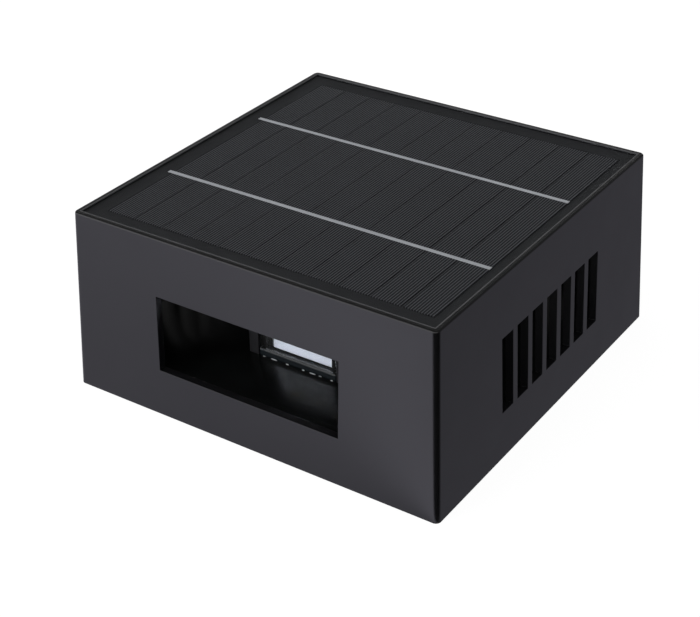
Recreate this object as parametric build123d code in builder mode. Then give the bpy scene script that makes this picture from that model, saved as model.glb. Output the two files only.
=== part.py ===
from build123d import *
import math
import os

os.makedirs("parts", exist_ok=True)

# Solar fence light. Millimetres, +Z up, the window faces -Y, origin in the middle of the foot.

# ---------------------------------------------------------------- clearances
seat_gap = 0.04           # between pieces that rest on each other round a curve
slip_gap = 0.25           # round a piece that drops into an opening
button_gap = 0.3          # round the button in its hole

# ---------------------------------------------------------------- housing
top_size = 110.0          # side of the square top
height = 52.4             # foot to rim
draft = 2.54              # degrees that each wall leans, wider at the foot
wall = 2.2
corner_r = 1.45           # upright corners, outside
inner_corner_r = 0.8      # upright corners, inside
rim_edge_r = 0.5          # round on the top edge
rim_width = 1.25          # lip round the panel
recess_r = 0.6            # corners of the panel recess
recess_depth = 2.4
roof = 2.0                # deck under the panel

window_width = 56.5
window_height = 22.0
window_sill = 13.7        # height of the window's lower edge

louvre_count = 7
louvre_pitch = 7.79
louvre_width = 5.6
louvre_height = 21.6
louvre_sill = 13.6
louvre_shift = 0.65       # the group stands this far behind the middle

keyhole_spacing = 60.0
keyhole_head_r = 4.25
keyhole_slot_width = 4.2
keyhole_slot_rise = 9.0   # from the head hole's centre to the slot's end centre
keyhole_height = 27.0     # height of the head holes' centres

# ---------------------------------------------------------------- screws of the base
screw_inset = 9.5         # from the inner walls at the floor to the screw axes
screw_r = 1.5
screw_head_r = 2.8
screw_hole_r = 1.7
screw_length = 22.0
pilot_gap = 0.05
pilot_spare = 0.6         # pilot hole past a screw's tip
boss_r = 3.4
boss_rib = 1.5            # thickness of the ribs that tie a boss to the walls

# ---------------------------------------------------------------- panel
panel_gap = 0.3           # dark line between rim and panel
tape = 0.5
tape_width = 8.0
tape_inset = 1.0          # from the panel's edge
backing = 1.2
cell = 0.2
ribbon = 0.1
film_cover = 0.28         # film above the ribbons
panel_r = 0.5
film_bevel = 0.2
film_rest = 0.02          # film pocket above the ribbons
cell_count = 11
cell_gap = 0.4            # dark line between neighbouring strips
cell_margin_left = 6.9    # from the housing's top edge to the cells
cell_margin_right = 4.6
cell_margin_front = 6.2
cell_margin_back = 7.1
ribbon_width = 1.2
ribbon_front = 32.4       # from the front top edge to the near ribbon
ribbon_spacing = 40.9
ribbon_overhang = 1.5     # ribbons reach past the cells on the left
pocket_margin = 0.1       # film pocket round the cells and the ribbons

# ---------------------------------------------------------------- floor tray and lamp core
floor_top = 12.0          # height of the glossy floor
floor_thick = 2.0
tray_gap = 0.3            # tray to the inner walls
skirt_thick = 1.8
core_width = 31.8
core_front = 34.4         # from the middle to the core's front face
core_back = 37.0
core_wall = 1.8
core_edge_r = 0.6
spigot_wall = 1.2         # rim under the core that drops into the tray's opening
core_band = 6.1           # core above the lens pockets
front_post = 3.3          # pillars beside the front lens
side_post_front = 8.1     # core ahead of the side lenses
side_post_back = 3.5      # core behind them
roof_seal_thick = 1.6
lens_depth = 3.8
lens_wall = 1.6
lens_gap = 0.3            # round each lens in its pocket
lens_edge_r = 0.3
gasket = 0.6
gasket_width = 1.5

# ---------------------------------------------------------------- lamp boards
led_board = 1.0
board_gap = 0.5           # above and below each board inside its lens
front_board_margin = 1.3  # beside the front board inside its lens
side_board_margin = 1.4
chip_size = 2.8
chip_thick = 0.7
chip_height = 27.0
front_chips = 2
front_chip_pitch = 8.0
side_chips = 4
side_chip_pitch = 12.0
pin_width = 0.64
pin_gap = 0.05
pin_pitch = 2.54
pin_height = 18.0
pin_reach = 0.8           # from the core's inner wall to the pins' lower legs
pin_inset = 1.6           # from a board's end to its last pin

# ---------------------------------------------------------------- circuit board
pcb = 1.2
pcb_post = 0.6            # posts between the tray and the board
pcb_width = 40.0
pcb_inset_front = 3.7     # from the core's front face to the board's edge
pcb_inset_back = 2.0
pcb_screw_inset = 3.2
pcb_screw_r = 1.0
pcb_screw_head_r = 1.9
pcb_screw_head = 1.3
pcb_screw_skin = 0.6      # floor left over the pilot holes
pcb_post_size = 4.4       # square posts at the board's corners

# ---------------------------------------------------------------- parts under the circuit board
side_column = 9.0         # from the middle to the outer parts
chip_y = 2.0
chip_length = 5.0
chip_width = 4.0
chip_drop = 1.6           # height of the chip under the board
coil_size = 5.2
coil_drop = 3.4
capacitor_y = 14.0
capacitor_r = 2.0
capacitor_drop = 4.2
resistor_y = -6.0
resistor_count = 3
resistor_pitch = 4.0
resistor_length = 3.2
resistor_width = 1.6
resistor_drop = 0.6

# ---------------------------------------------------------------- switch and button
button_inset = 10.7       # from the circuit board's front edge to the button
travel = 0.8
switch_size = 6.0
switch_height = 3.5
plunger_r = 1.75
plunger_out = 0.9         # plunger below the switch body
plunger_in = 0.6          # plunger inside the switch body at rest
plunger_gap = 0.08
button_r = 4.6
button_proud = 0.3        # button face below the cover's face
button_stem_r = 1.75
button_flange_r = 5.9
button_flange = 0.6
button_bevel = 0.4

# ---------------------------------------------------------------- battery
battery_r = 7.1
battery_length = 48.5     # without its nub
battery_nub_r = 2.7
battery_nub = 1.2
cradle_base = 1.3
cradle_wall = 1.1
cradle_gap = 0.1
cradle_height = 12.0
cradle_end = 1.2
battery_y = -0.2          # middle of the cell and its cradle
contact = 0.4
contact_size = 9.0

# ---------------------------------------------------------------- panel leads
lead_r = 0.65
lead_spacing = 3.0
lead_inset = 5.5          # from the core's back to the leads
lead_hole = 6.4           # side of the square hole for the leads
seal_width = 1.6          # foam round the lead hole
connector_width = 7.0
connector_depth = 4.6
connector_height = 4.5

# ---------------------------------------------------------------- base cover
cover = 1.8
cover_low = 1.0           # the cover lies this far inside the foot
cover_gap = 0.25
base_gasket_thick = 1.2
base_gasket_width = 2.0
base_gasket_inset = 0.3   # from the cover's edge

# ---------------------------------------------------------------- heights that follow
slope = math.tan(math.radians(draft))
recess_size = top_size - 2 * rim_width
recess_floor = height - recess_depth
roof_low = recess_floor - roof
floor_low = floor_top - floor_thick
core_top = roof_low - roof_seal_thick
cover_top = cover_low + cover
skirt_low = cover_top + base_gasket_thick
pcb_top = floor_low - pcb_post
pcb_low = pcb_top - pcb
lead_y = core_back - lead_inset
backing_low = recess_floor + tape
cell_low = backing_low + backing
ribbon_low = cell_low + cell
film_pocket_top = ribbon_low + ribbon + film_rest
panel_top = film_pocket_top + film_cover

# ---------------------------------------------------------------- core, lenses and lamp boards that follow
pocket_depth = lens_depth + gasket
pocket_height = core_top - core_band - floor_top
lens_height = pocket_height - lens_gap
lens_mid = floor_top + lens_height / 2
front_lens_width = core_width - 2 * front_post - 2 * lens_gap
side_lens_length = core_front + core_back - side_post_front - side_post_back - 2 * lens_gap
side_lens_shift = (core_back - side_post_back - core_front + side_post_front) / 2
front_wall_y = -(core_front - pocket_depth)
side_wall_x = core_width / 2 - pocket_depth
led_board_height = lens_height - 2 * lens_wall - 2 * board_gap
front_board_width = front_lens_width - 2 * lens_wall - 2 * front_board_margin
side_board_length = side_lens_length - 2 * lens_wall - 2 * side_board_margin
button_y = -(core_front - pcb_inset_front) + button_inset


def outer_half(z):
    """Half the housing's outside width at height z."""
    return top_size / 2 + (height - z) * slope


def drafted_block(low, high, inset, corner):
    """Square block between two heights, `inset` inside the housing's outer face all the way up."""
    with BuildPart(mode=Mode.PRIVATE) as block:
        with BuildSketch(Plane.XY.offset(low)):
            side = 2 * (outer_half(low) - inset)
            Rectangle(side, side)
        extrude(amount=high - low, taper=draft)
        fillet(block.edges().group_by(Axis.Z)[1], corner)
    return block.part


def save(builder, name):
    """Label a finished piece and write it."""
    builder.part.label = name
    export_step(builder.part, f"parts/{name}.step")


inner_floor_half = outer_half(floor_top) - wall
screw_offset = inner_floor_half - screw_inset
screw_spots = GridLocations(2 * screw_offset, 2 * screw_offset, 2, 2)

# ================================================================ housing
outer_block = drafted_block(0, height, 0, corner_r)
cavity_block = drafted_block(0, roof_low, wall, inner_corner_r)

boss_limit = drafted_block(floor_top, roof_low, wall / 2, inner_corner_r)

# corner bosses, each tied to both of its walls by a rib that follows the wall's lean
with BuildPart() as boss_posts:
    rib_reach = outer_half(floor_top) - screw_offset
    with BuildSketch(Plane.XY.offset(floor_top)):
        for spot in screw_spots.locations:
            x, y = spot.position.X, spot.position.Y
            side_x, side_y = math.copysign(1, x), math.copysign(1, y)
            with Locations((x, y)):
                Circle(boss_r)
            with Locations((x + side_x * rib_reach / 2, y)):
                Rectangle(rib_reach, boss_rib)
            with Locations((x, y + side_y * rib_reach / 2)):
                Rectangle(boss_rib, rib_reach)
    extrude(amount=roof_low - floor_top)
    add(boss_limit, mode=Mode.INTERSECT)

with BuildPart() as housing:
    add(outer_block)
    fillet(housing.faces().sort_by(Axis.Z)[-1].edges(), rim_edge_r)
    add(cavity_block, mode=Mode.SUBTRACT)

    # recess for the panel, with the lead hole through the deck below it
    with BuildSketch(Plane.XY.offset(recess_floor)):
        RectangleRounded(recess_size, recess_size, recess_r)
    extrude(amount=recess_depth, mode=Mode.SUBTRACT)
    with BuildSketch(Plane.XY.offset(roof_low)):
        with Locations((0, lead_y)):
            Rectangle(lead_hole, lead_hole)
    extrude(amount=roof, mode=Mode.SUBTRACT)

    add(boss_posts.part)
    with BuildSketch(Plane.XY.offset(floor_top)):
        with Locations(*screw_spots.locations):
            Circle(screw_r + pilot_gap)
    extrude(amount=cover_low + screw_length + pilot_spare - floor_top, mode=Mode.SUBTRACT)

    # light window in the front wall
    with BuildSketch(Plane.XZ.offset(outer_half(0))):
        with Locations((0, window_sill + window_height / 2)):
            Rectangle(window_width, window_height)
    extrude(amount=-(outer_half(0) - outer_half(height) + 2 * wall), mode=Mode.SUBTRACT)

    # louvres through both side walls
    with BuildSketch(Plane.YZ):
        with Locations((louvre_shift, louvre_sill + louvre_height / 2)):
            with GridLocations(louvre_pitch, 0, louvre_count, 1):
                Rectangle(louvre_width, louvre_height)
    extrude(amount=outer_half(0), both=True, mode=Mode.SUBTRACT)

    # keyholes in the back wall: the fence screws' heads enter below and the light drops onto them
    with BuildSketch(Plane.XZ.offset(-outer_half(0))):
        with Locations((0, keyhole_height)):
            with GridLocations(keyhole_spacing, 0, 2, 1):
                Circle(keyhole_head_r)
                with Locations((0, keyhole_slot_rise / 2)):
                    Rectangle(keyhole_slot_width, keyhole_slot_rise)
                with Locations((0, keyhole_slot_rise)):
                    Circle(keyhole_slot_width / 2)
    extrude(amount=outer_half(0) - outer_half(height) + 2 * wall, mode=Mode.SUBTRACT)
save(housing, "housing")

# ================================================================ solar panel
panel_size = recess_size - 2 * panel_gap
tape_size = panel_size - 2 * tape_inset
cell_left = -top_size / 2 + cell_margin_left
cell_right = top_size / 2 - cell_margin_right
cell_front = -top_size / 2 + cell_margin_front
cell_rear = top_size / 2 - cell_margin_back
cell_field_x = cell_right - cell_left
cell_field_y = cell_rear - cell_front
cell_pitch = (cell_field_x + cell_gap) / cell_count
cell_center = ((cell_left + cell_right) / 2, (cell_front + cell_rear) / 2)
ribbon_length = cell_field_x + ribbon_overhang
ribbon_mid_y = -top_size / 2 + ribbon_front + ribbon_spacing / 2
ribbon_center = (cell_center[0] - ribbon_overhang / 2, ribbon_mid_y)

with BuildPart() as panel_tape:
    with BuildSketch(Plane.XY.offset(recess_floor)):
        Rectangle(tape_size, tape_size)
        Rectangle(tape_size - 2 * tape_width, tape_size - 2 * tape_width, mode=Mode.SUBTRACT)
    extrude(amount=tape)
save(panel_tape, "panel_tape")

with BuildPart() as panel_backing:
    with BuildSketch(Plane.XY.offset(backing_low)):
        RectangleRounded(panel_size, panel_size, panel_r)
    extrude(amount=backing)
save(panel_backing, "panel_backing")

with BuildPart() as solar_cells:
    with BuildSketch(Plane.XY.offset(cell_low)):
        with Locations(cell_center):
            with GridLocations(cell_pitch, 0, cell_count, 1):
                Rectangle(cell_pitch - cell_gap, cell_field_y)
    extrude(amount=cell)
save(solar_cells, "solar_cells")

with BuildPart() as cell_ribbons:
    with BuildSketch(Plane.XY.offset(ribbon_low)):
        with Locations(ribbon_center):
            with GridLocations(0, ribbon_spacing, 1, 2):
                Rectangle(ribbon_length, ribbon_width)
    extrude(amount=ribbon)
save(cell_ribbons, "cell_ribbons")

with BuildPart() as panel_film:
    with BuildSketch(Plane.XY.offset(cell_low)):
        RectangleRounded(panel_size, panel_size, panel_r)
    extrude(amount=panel_top - cell_low)
    chamfer(panel_film.faces().sort_by(Axis.Z)[-1].edges(), film_bevel)
    with BuildSketch(Plane.XY.offset(cell_low)):
        with Locations(cell_center):
            Rectangle(cell_field_x + 2 * pocket_margin, cell_field_y + 2 * pocket_margin)
        with Locations(ribbon_center):
            with GridLocations(0, ribbon_spacing, 1, 2):
                Rectangle(ribbon_length + 2 * pocket_margin, ribbon_width + 2 * pocket_margin)
    extrude(amount=film_pocket_top - cell_low, mode=Mode.SUBTRACT)
save(panel_film, "panel_film")

# ================================================================ floor tray: glossy floor with a skirt below
tray_inset = wall + tray_gap
tray_block = drafted_block(skirt_low, floor_top, tray_inset, inner_corner_r)
skirt_opening = 2 * (outer_half(floor_low) - tray_inset - skirt_thick)
core_mid_y = (core_back - core_front) / 2
core_length = core_front + core_back
core_inner_width = 2 * (side_wall_x - core_wall)
core_inner_front = front_wall_y + core_wall
core_inner_back = core_back - core_wall
core_inner_length = core_inner_back - core_inner_front
core_inner_mid_y = (core_inner_back + core_inner_front) / 2
spigot_width = core_inner_width + 2 * spigot_wall
spigot_length = core_inner_length + 2 * spigot_wall
front_pocket_width = front_lens_width + 2 * lens_gap
side_pocket_length = side_lens_length + 2 * lens_gap
pcb_mid_y = core_mid_y + (pcb_inset_front - pcb_inset_back) / 2
pcb_length = core_length - pcb_inset_front - pcb_inset_back
pcb_post_x = pcb_width / 2 - pcb_screw_inset
pcb_post_y = pcb_length / 2 - pcb_screw_inset
pcb_screw_spots = [(side * pcb_post_x, pcb_mid_y + side * pcb_post_y) for side in (-1, 1)]
front_pin_x = [front_board_width / 2 - pin_inset - step * pin_pitch for step in range(2)]
side_board_rear = side_lens_shift + side_board_length / 2
side_pin_y = [side_board_rear - pin_inset - step * pin_pitch for step in range(2)]

with BuildPart() as floor_tray:
    add(tray_block)
    with BuildSketch(Plane.XY.offset(skirt_low)):
        Rectangle(skirt_opening, skirt_opening)
    extrude(amount=floor_low - skirt_low, mode=Mode.SUBTRACT)

    # opening that takes the core's rim
    with BuildSketch(Plane.XY.offset(floor_low)):
        with Locations((0, core_inner_mid_y)):
            Rectangle(spigot_width + 2 * slip_gap, spigot_length + 2 * slip_gap)
    extrude(amount=floor_thick, mode=Mode.SUBTRACT)

    # columns for the base screws and posts for the circuit board
    with BuildSketch(Plane.XY.offset(cover_top)):
        with Locations(*screw_spots.locations):
            Rectangle(2 * boss_r, 2 * boss_r)
    extrude(amount=floor_low - cover_top)
    with BuildSketch(Plane.XY.offset(pcb_top)):
        with Locations((0, pcb_mid_y)):
            with GridLocations(2 * pcb_post_x, 2 * pcb_post_y, 2, 2):
                Rectangle(pcb_post_size, pcb_post_size)
    extrude(amount=pcb_post)
    with BuildSketch(Plane.XY.offset(cover_top)):
        with Locations(*screw_spots.locations):
            Circle(screw_hole_r)
    extrude(amount=floor_top - cover_top, mode=Mode.SUBTRACT)
    with BuildSketch(Plane.XY.offset(pcb_top)):
        with Locations(*pcb_screw_spots):
            Circle(pcb_screw_r + pilot_gap)
    extrude(amount=floor_top - pcb_screw_skin - pcb_top, mode=Mode.SUBTRACT)
save(floor_tray, "floor_tray")

# ================================================================ lamp core: black box that stands on the floor
with BuildPart() as lamp_core:
    with BuildSketch(Plane.XY.offset(floor_top)):
        with Locations((0, core_mid_y)):
            RectangleRounded(core_width, core_length, core_edge_r)
    extrude(amount=core_top - floor_top)
    with BuildSketch(Plane.XY.offset(floor_low)):
        with Locations((0, core_inner_mid_y)):
            Rectangle(spigot_width, spigot_length)
    extrude(amount=floor_thick)

    # hollow, open downwards, for the battery and the leads
    with BuildSketch(Plane.XY.offset(floor_low)):
        with Locations((0, core_inner_mid_y)):
            Rectangle(core_inner_width, core_inner_length)
    extrude(amount=core_top - core_wall - floor_low, mode=Mode.SUBTRACT)

    # pockets for the front lens and the two side lenses
    with BuildSketch(Plane.XZ.offset(core_front)):
        with Locations((0, floor_top + pocket_height / 2)):
            Rectangle(front_pocket_width, pocket_height)
    extrude(amount=-pocket_depth, mode=Mode.SUBTRACT)
    for side in (-1, 1):
        with BuildSketch(Plane.YZ.offset(side * core_width / 2)):
            with Locations((side_lens_shift, floor_top + pocket_height / 2)):
                Rectangle(side_pocket_length, pocket_height)
        extrude(amount=-side * pocket_depth, mode=Mode.SUBTRACT)

    # holes for the lamp boards' pins
    with BuildSketch(Plane.XZ.offset(-front_wall_y)):
        with Locations(*[(x, pin_height) for x in front_pin_x]):
            Rectangle(pin_width + 2 * pin_gap, pin_width + 2 * pin_gap)
    extrude(amount=-core_wall, mode=Mode.SUBTRACT)
    with BuildSketch(Plane.YZ):
        with Locations(*[(y, pin_height) for y in side_pin_y]):
            Rectangle(pin_width + 2 * pin_gap, pin_width + 2 * pin_gap)
    extrude(amount=side_wall_x, both=True, mode=Mode.SUBTRACT)

    # lead hole in the core's top
    with BuildSketch(Plane.XY.offset(core_top - core_wall)):
        with Locations((0, lead_y)):
            Rectangle(lead_hole, lead_hole)
    extrude(amount=core_wall, mode=Mode.SUBTRACT)
save(lamp_core, "lamp_core")

with BuildPart() as roof_seal:
    with BuildSketch(Plane.XY.offset(core_top)):
        with Locations((0, lead_y)):
            Rectangle(lead_hole + 2 * seal_width, lead_hole + 2 * seal_width)
            Rectangle(lead_hole, lead_hole, mode=Mode.SUBTRACT)
    extrude(amount=roof_low - core_top)
save(roof_seal, "roof_seal")


# ================================================================ lenses, seals and lamp boards
def lens_frame(plane, across, length):
    """Clear cover that opens towards the core: `plane` lies on its outer face, looking outwards."""
    with BuildPart(mode=Mode.PRIVATE) as lens:
        with BuildSketch(plane):
            with Locations((across, lens_mid)):
                Rectangle(length, lens_height)
        extrude(amount=-lens_depth)
        outward = Axis((0, 0, 0), tuple(plane.z_dir))
        fillet(lens.faces().sort_by(outward)[-1].edges(), lens_edge_r)
        with BuildSketch(plane.offset(-lens_depth)):
            with Locations((across, lens_mid)):
                Rectangle(length - 2 * lens_wall, lens_height - 2 * lens_wall)
        extrude(amount=lens_depth - lens_wall, mode=Mode.SUBTRACT)
    return lens.part


def seal_frame(plane, across, length):
    """Flat seal behind a cover: `plane` lies on the core's wall, looking outwards."""
    with BuildPart(mode=Mode.PRIVATE) as seal:
        with BuildSketch(plane):
            with Locations((across, lens_mid)):
                Rectangle(length, lens_height)
                Rectangle(length - 2 * gasket_width, lens_height - 2 * gasket_width, mode=Mode.SUBTRACT)
        extrude(amount=gasket)
    return seal.part


def lamp_board(plane, across, length):
    """White lamp board that lies on the core's wall."""
    with BuildPart(mode=Mode.PRIVATE) as board:
        with BuildSketch(plane):
            with Locations((across, lens_mid)):
                Rectangle(length, led_board_height)
        extrude(amount=led_board)
    return board.part


def chip_row(plane, across, pitch, count):
    """Lamp chips in a row on the face of a board."""
    with BuildPart(mode=Mode.PRIVATE) as chips:
        with BuildSketch(plane.offset(led_board)):
            with Locations((across, chip_height)):
                with GridLocations(pitch, 0, count, 1):
                    Rectangle(chip_size, chip_size)
        extrude(amount=chip_thick)
    return chips.part


front_face = Plane(origin=(0, -core_front, 0), x_dir=(1, 0, 0), z_dir=(0, -1, 0))
right_face = Plane(origin=(core_width / 2, 0, 0), x_dir=(0, 1, 0), z_dir=(1, 0, 0))
left_face = Plane(origin=(-core_width / 2, 0, 0), x_dir=(0, -1, 0), z_dir=(-1, 0, 0))
front_wall = front_face.offset(-pocket_depth)
right_wall = right_face.offset(-pocket_depth)
left_wall = left_face.offset(-pocket_depth)

front_lens_body = lens_frame(front_face, 0, front_lens_width)
right_lens_body = lens_frame(right_face, side_lens_shift, side_lens_length)
left_lens_body = lens_frame(left_face, -side_lens_shift, side_lens_length)

with BuildPart() as front_lens:
    add(front_lens_body)
save(front_lens, "front_lens")

with BuildPart() as side_lenses:
    add(right_lens_body)
    add(left_lens_body)
save(side_lenses, "side_lenses")

seal_bodies = [
    seal_frame(front_wall, 0, front_lens_width),
    seal_frame(right_wall, side_lens_shift, side_lens_length),
    seal_frame(left_wall, -side_lens_shift, side_lens_length),
]
with BuildPart() as lens_gaskets:
    add(seal_bodies)
save(lens_gaskets, "lens_gaskets")

front_board_body = lamp_board(front_wall, 0, front_board_width)
with BuildPart() as front_led_board:
    add(front_board_body)
save(front_led_board, "front_led_board")

side_board_bodies = [
    lamp_board(right_wall, side_lens_shift, side_board_length),
    lamp_board(left_wall, -side_lens_shift, side_board_length),
]
with BuildPart() as side_led_boards:
    add(side_board_bodies)
save(side_led_boards, "side_led_boards")

chip_bodies = [
    chip_row(front_wall, 0, front_chip_pitch, front_chips),
    chip_row(right_wall, side_lens_shift, side_chip_pitch, side_chips),
    chip_row(left_wall, -side_lens_shift, side_chip_pitch, side_chips),
]
with BuildPart() as led_chips:
    add(chip_bodies)
save(led_chips, "led_chips")


def angled_pin(base, across, reach):
    """Square pin that leaves a lamp board level and turns down to the circuit board.

    `base` is upright, square to the lamp board, and holds the pin's bend in its own plane.
    """
    with BuildPart(mode=Mode.PRIVATE) as pin:
        with BuildSketch(base.offset(across)):
            with Locations((reach / 2, pin_height)):
                Rectangle(reach, pin_width)
            with Locations((reach - pin_width / 2, (pin_height + pin_width / 2 + pcb_top) / 2)):
                Rectangle(pin_width, pin_height + pin_width / 2 - pcb_top)
        extrude(amount=pin_width / 2, both=True)
    return pin.part


pin_full_reach = core_wall + pin_reach + pin_width / 2
front_pin_plane = Plane(origin=(0, front_wall_y, 0), x_dir=(0, 1, 0), z_dir=(1, 0, 0))
right_pin_plane = Plane(origin=(side_wall_x, 0, 0), x_dir=(-1, 0, 0), z_dir=(0, 1, 0))
left_pin_plane = Plane(origin=(-side_wall_x, 0, 0), x_dir=(1, 0, 0), z_dir=(0, -1, 0))
pin_bodies = [angled_pin(front_pin_plane, x, pin_full_reach) for x in front_pin_x]
pin_bodies += [angled_pin(right_pin_plane, y, pin_full_reach) for y in side_pin_y]
pin_bodies += [angled_pin(left_pin_plane, -y, pin_full_reach) for y in side_pin_y]
with BuildPart() as board_pins:
    add(pin_bodies)
save(board_pins, "board_pins")

# ================================================================ circuit board
with BuildPart() as circuit_board:
    with BuildSketch(Plane.XY.offset(pcb_low)):
        with Locations((0, pcb_mid_y)):
            Rectangle(pcb_width, pcb_length)
        with Locations(*pcb_screw_spots):
            Circle(pcb_screw_r + pilot_gap, mode=Mode.SUBTRACT)
    extrude(amount=pcb)
save(circuit_board, "circuit_board")

# soldered under the board: control chip, coil, a pair of capacitors and a row of resistors
with BuildPart() as board_parts:
    with BuildSketch(Plane.XY.offset(pcb_low)):
        with Locations((-side_column, chip_y)):
            Rectangle(chip_length, chip_width)
    extrude(amount=-chip_drop)
    with BuildSketch(Plane.XY.offset(pcb_low)):
        with Locations((side_column, chip_y)):
            Rectangle(coil_size, coil_size)
    extrude(amount=-coil_drop)
    with BuildSketch(Plane.XY.offset(pcb_low)):
        with Locations((0, capacitor_y)):
            with GridLocations(2 * side_column, 0, 2, 1):
                Circle(capacitor_r)
    extrude(amount=-capacitor_drop)
    with BuildSketch(Plane.XY.offset(pcb_low)):
        with Locations((0, resistor_y)):
            with GridLocations(0, resistor_pitch, 1, resistor_count):
                Rectangle(resistor_length, resistor_width)
    extrude(amount=-resistor_drop)
save(board_parts, "board_parts")

with BuildPart() as board_screws:
    with BuildSketch(Plane.XY.offset(pcb_low)):
        with Locations(*pcb_screw_spots):
            Circle(pcb_screw_head_r)
    extrude(amount=-pcb_screw_head)
    with BuildSketch(Plane.XY.offset(pcb_low)):
        with Locations(*pcb_screw_spots):
            Circle(pcb_screw_r)
    extrude(amount=floor_top - pcb_screw_skin - pilot_gap - pcb_low)
save(board_screws, "board_screws")

# ================================================================ switch and button
switch_low = pcb_low - switch_height
plunger_low = switch_low - plunger_out
plunger_bore = plunger_in + travel + seat_gap

with BuildPart() as switch_body:
    with BuildSketch(Plane.XY.offset(pcb_low)):
        with Locations((0, button_y)):
            Rectangle(switch_size, switch_size)
    extrude(amount=-switch_height)
    with BuildSketch(Plane.XY.offset(switch_low)):
        with Locations((0, button_y)):
            Circle(plunger_r + plunger_gap)
    extrude(amount=plunger_bore, mode=Mode.SUBTRACT)
save(switch_body, "switch_body")

with BuildPart() as switch_plunger:
    with BuildSketch(Plane.XY.offset(plunger_low)):
        with Locations((0, button_y)):
            Circle(plunger_r)
    extrude(amount=plunger_out + plunger_in)
save(switch_plunger, "switch_plunger")

flange_low = cover_top + seat_gap
with BuildPart() as push_button:
    with BuildSketch(Plane.XY.offset(cover_low - button_proud)):
        with Locations((0, button_y)):
            Circle(button_r)
    extrude(amount=flange_low - cover_low + button_proud)
    chamfer(push_button.faces().sort_by(Axis.Z)[0].edges(), button_bevel)
    with BuildSketch(Plane.XY.offset(flange_low)):
        with Locations((0, button_y)):
            Circle(button_flange_r)
    extrude(amount=button_flange)
    with BuildSketch(Plane.XY.offset(flange_low)):
        with Locations((0, button_y)):
            Circle(button_stem_r)
    extrude(amount=plunger_low - flange_low)
save(push_button, "push_button")

# ================================================================ battery
battery_z = pcb_top + cradle_base + cradle_gap + battery_r
battery_start = battery_y - (battery_length + battery_nub) / 2
cradle_inner = battery_length + battery_nub + 2 * contact
cradle_length = cradle_inner + 2 * cradle_end
cradle_width = 2 * (battery_r + cradle_gap + cradle_wall)

with BuildPart() as battery:
    with BuildSketch(Plane.XZ.offset(-battery_start)):
        with Locations((0, battery_z)):
            Circle(battery_r)
    extrude(amount=-battery_length)
    with BuildSketch(Plane.XZ.offset(-(battery_start + battery_length))):
        with Locations((0, battery_z)):
            Circle(battery_nub_r)
    extrude(amount=-battery_nub)
save(battery, "battery")

with BuildPart() as battery_cradle:
    with BuildSketch(Plane.XZ.offset(cradle_length / 2 - battery_y)):
        with Locations((0, pcb_top + cradle_height / 2)):
            Rectangle(cradle_width, cradle_height)
    extrude(amount=-cradle_length)
    with BuildSketch(Plane.XZ.offset(cradle_inner / 2 - battery_y)):
        with Locations((0, battery_z)):
            Circle(battery_r + cradle_gap)
        with Locations((0, battery_z + battery_r)):
            Rectangle(2 * (battery_r + cradle_gap), 2 * battery_r)
    extrude(amount=-cradle_inner, mode=Mode.SUBTRACT)
save(battery_cradle, "battery_cradle")

with BuildPart() as battery_contacts:
    for face_y in (battery_y - cradle_inner / 2, battery_y + cradle_inner / 2 - contact):
        with BuildSketch(Plane.XZ.offset(-face_y)):
            with Locations((0, battery_z)):
                Rectangle(contact_size, contact_size)
        extrude(amount=-contact)
save(battery_contacts, "battery_contacts")

# ================================================================ panel leads
connector_top = pcb_top + connector_height

# two insulated wires, pulled straight between the panel's back and the connector
with BuildPart() as panel_leads:
    with BuildSketch(Plane.XY.offset(connector_top)):
        with Locations((0, lead_y)):
            with GridLocations(lead_spacing, 0, 2, 1):
                Circle(lead_r)
    extrude(amount=backing_low - connector_top)
save(panel_leads, "panel_leads")

with BuildPart() as lead_connector:
    with BuildSketch(Plane.XY.offset(pcb_top)):
        with Locations((0, lead_y)):
            Rectangle(connector_width, connector_depth)
    extrude(amount=connector_height)
save(lead_connector, "lead_connector")

# ================================================================ base
cover_block = drafted_block(cover_low, cover_top, wall + cover_gap, inner_corner_r)
gasket_size = 2 * (outer_half(skirt_low) - wall - cover_gap - base_gasket_inset)
gasket_opening = gasket_size - 2 * base_gasket_width

with BuildPart() as base_cover:
    add(cover_block)
    with BuildSketch(Plane.XY.offset(cover_low)):
        with Locations((0, button_y)):
            Circle(button_r + button_gap)
    extrude(amount=cover, mode=Mode.SUBTRACT)
    with Locations(Plane.XY.offset(cover_low).rotated((180, 0, 0))):
        with Locations(*screw_spots.locations):
            CounterSinkHole(screw_hole_r, screw_head_r + seat_gap, depth=cover, counter_sink_angle=90)
save(base_cover, "base_cover")

with BuildPart() as base_gasket:
    with BuildSketch(Plane.XY.offset(cover_top)):
        Rectangle(gasket_size, gasket_size)
        Rectangle(gasket_opening, gasket_opening, mode=Mode.SUBTRACT)
    extrude(amount=skirt_low - cover_top)
save(base_gasket, "base_gasket")

with BuildPart() as base_screws:
    for spot in screw_spots.locations:
        axis_origin = (spot.position.X, spot.position.Y, 0)
        with BuildSketch(Plane(origin=axis_origin, x_dir=(1, 0, 0), z_dir=(0, -1, 0))):
            with BuildLine():
                Polyline(
                    (0, cover_low),
                    (screw_head_r, cover_low),
                    (screw_r, cover_low + screw_head_r - screw_r),
                    (screw_r, cover_low + screw_length),
                    (0, cover_low + screw_length),
                    close=True,
                )
            make_face()
        revolve(axis=Axis(axis_origin, (0, 0, 1)))
save(base_screws, "base_screws")
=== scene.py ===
import math

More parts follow.
